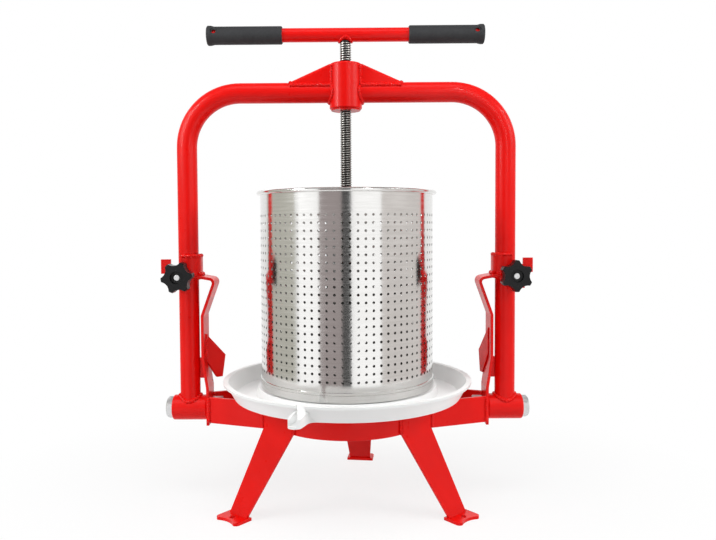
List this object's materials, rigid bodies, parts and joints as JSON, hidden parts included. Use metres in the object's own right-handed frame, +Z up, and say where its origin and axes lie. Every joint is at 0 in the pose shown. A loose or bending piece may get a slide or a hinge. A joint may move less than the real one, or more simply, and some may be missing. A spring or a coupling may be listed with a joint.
{
  "type": "fruit press",
  "caption": "Tabletop fruit press: screw and T-handle in a tube arch, perforated basket with pressing pan, juice tray with spout, legged ring frame, clamp knobs.",
  "frame": {"origin": "on the floor, on the axis of the screw, in the middle of the overall width and depth", "axes": "+Z up along the screw, +X to the viewer's right along the handle, -Y to the front"},
  "size_m": [0.514, 0.369, 0.664],
  "materials": {
    "frame_paint": "glossy red powder coat",
    "stainless": "brushed stainless sheet",
    "screw_steel": "dark oiled steel",
    "zinc_plate": "bright zinc plate",
    "bronze": "turned bronze",
    "tray_plastic": "white moulded food plastic",
    "knob_plastic": "black moulded plastic",
    "grip_rubber": "black soft rubber"
  },
  "bodies": {
    "frame": {"base_ring": "frame_paint", "arm_front_left": "frame_paint", "arm_front_right": "frame_paint", "arm_rear_left": "frame_paint", "arm_rear_right": "frame_paint", "leg_left": "frame_paint", "leg_right": "frame_paint", "leg_rear": "frame_paint", "latch_strip_left": "frame_paint", "latch_strip_right": "frame_paint", "stop_left": "frame_paint", "stop_right": "frame_paint", "saddle_left": "frame_paint", "saddle_right": "frame_paint", "clamp_stud_left": "zinc_plate", "clamp_stud_right": "zinc_plate", "arch_half_left": "frame_paint", "arch_half_right": "frame_paint", "head_boss": "frame_paint", "screw_nut": "frame_paint", "gusset_left": "frame_paint", "gusset_right": "frame_paint", "pivot_tube_left": "frame_paint", "pivot_tube_right": "frame_paint", "pivot_bolt_left": "zinc_plate", "pivot_bolt_right": "zinc_plate", "pivot_washer_left": "zinc_plate", "pivot_washer_right": "zinc_plate", "pivot_nut_left": "zinc_plate", "pivot_nut_right": "zinc_plate", "juice_tray": "tray_plastic", "basket_wall": "stainless", "basket_base": "stainless"},
    "press_carriage": {"press_pan": "stainless", "pan_hub": "stainless", "hub_grub_screws": "zinc_plate", "thrust_pad": "bronze"},
    "screw": {"lead_screw": "screw_steel", "handle_bar": "frame_paint", "grip_left": "grip_rubber", "grip_right": "grip_rubber"},
    "clamp_washer_left": {"knob_washer_left": "zinc_plate"},
    "star_knob_left": {"knob_left": "knob_plastic", "knob_insert_left": "zinc_plate"},
    "clamp_washer_right": {"knob_washer_right": "zinc_plate"},
    "star_knob_right": {"knob_right": "knob_plastic", "knob_insert_right": "zinc_plate"}
  },
  "joints": [
    {"name": "press_slide", "type": "slide", "parent": "frame", "child": "press_carriage", "axis": [0, 0, 1], "range_m": [-0.0145, 0.2561]},
    {"name": "press_turn", "type": "hinge", "parent": "press_carriage", "child": "screw", "pos_m": [0, 0, 0.6505], "axis": [0, 0, 1], "range_deg": [-1620, 28800]},
    {"name": "knob_left_slide", "type": "slide", "parent": "frame", "child": "clamp_washer_left", "axis": [0, -1, 0], "range_m": [0, 0.00505]},
    {"name": "knob_left_turn", "type": "hinge", "parent": "clamp_washer_left", "child": "star_knob_left", "pos_m": [-0.23, -0.0203, 0.317], "axis": [0, -1, 0], "range_deg": [0, 1440]},
    {"name": "knob_right_slide", "type": "slide", "parent": "frame", "child": "clamp_washer_right", "axis": [0, -1, 0], "range_m": [0, 0.00505]},
    {"name": "knob_right_turn", "type": "hinge", "parent": "clamp_washer_right", "child": "star_knob_right", "pos_m": [0.23, -0.0203, 0.317], "axis": [0, -1, 0], "range_deg": [0, 1440]}
  ],
  "couplings": [
    {"joint": "press_slide", "follows": "press_turn", "m_per_rad": 0.0005093},
    {"joint": "knob_left_slide", "follows": "knob_left_turn", "m_per_rad": 0.00019894},
    {"joint": "knob_right_slide", "follows": "knob_right_turn", "m_per_rad": 0.00019894}
  ]
}
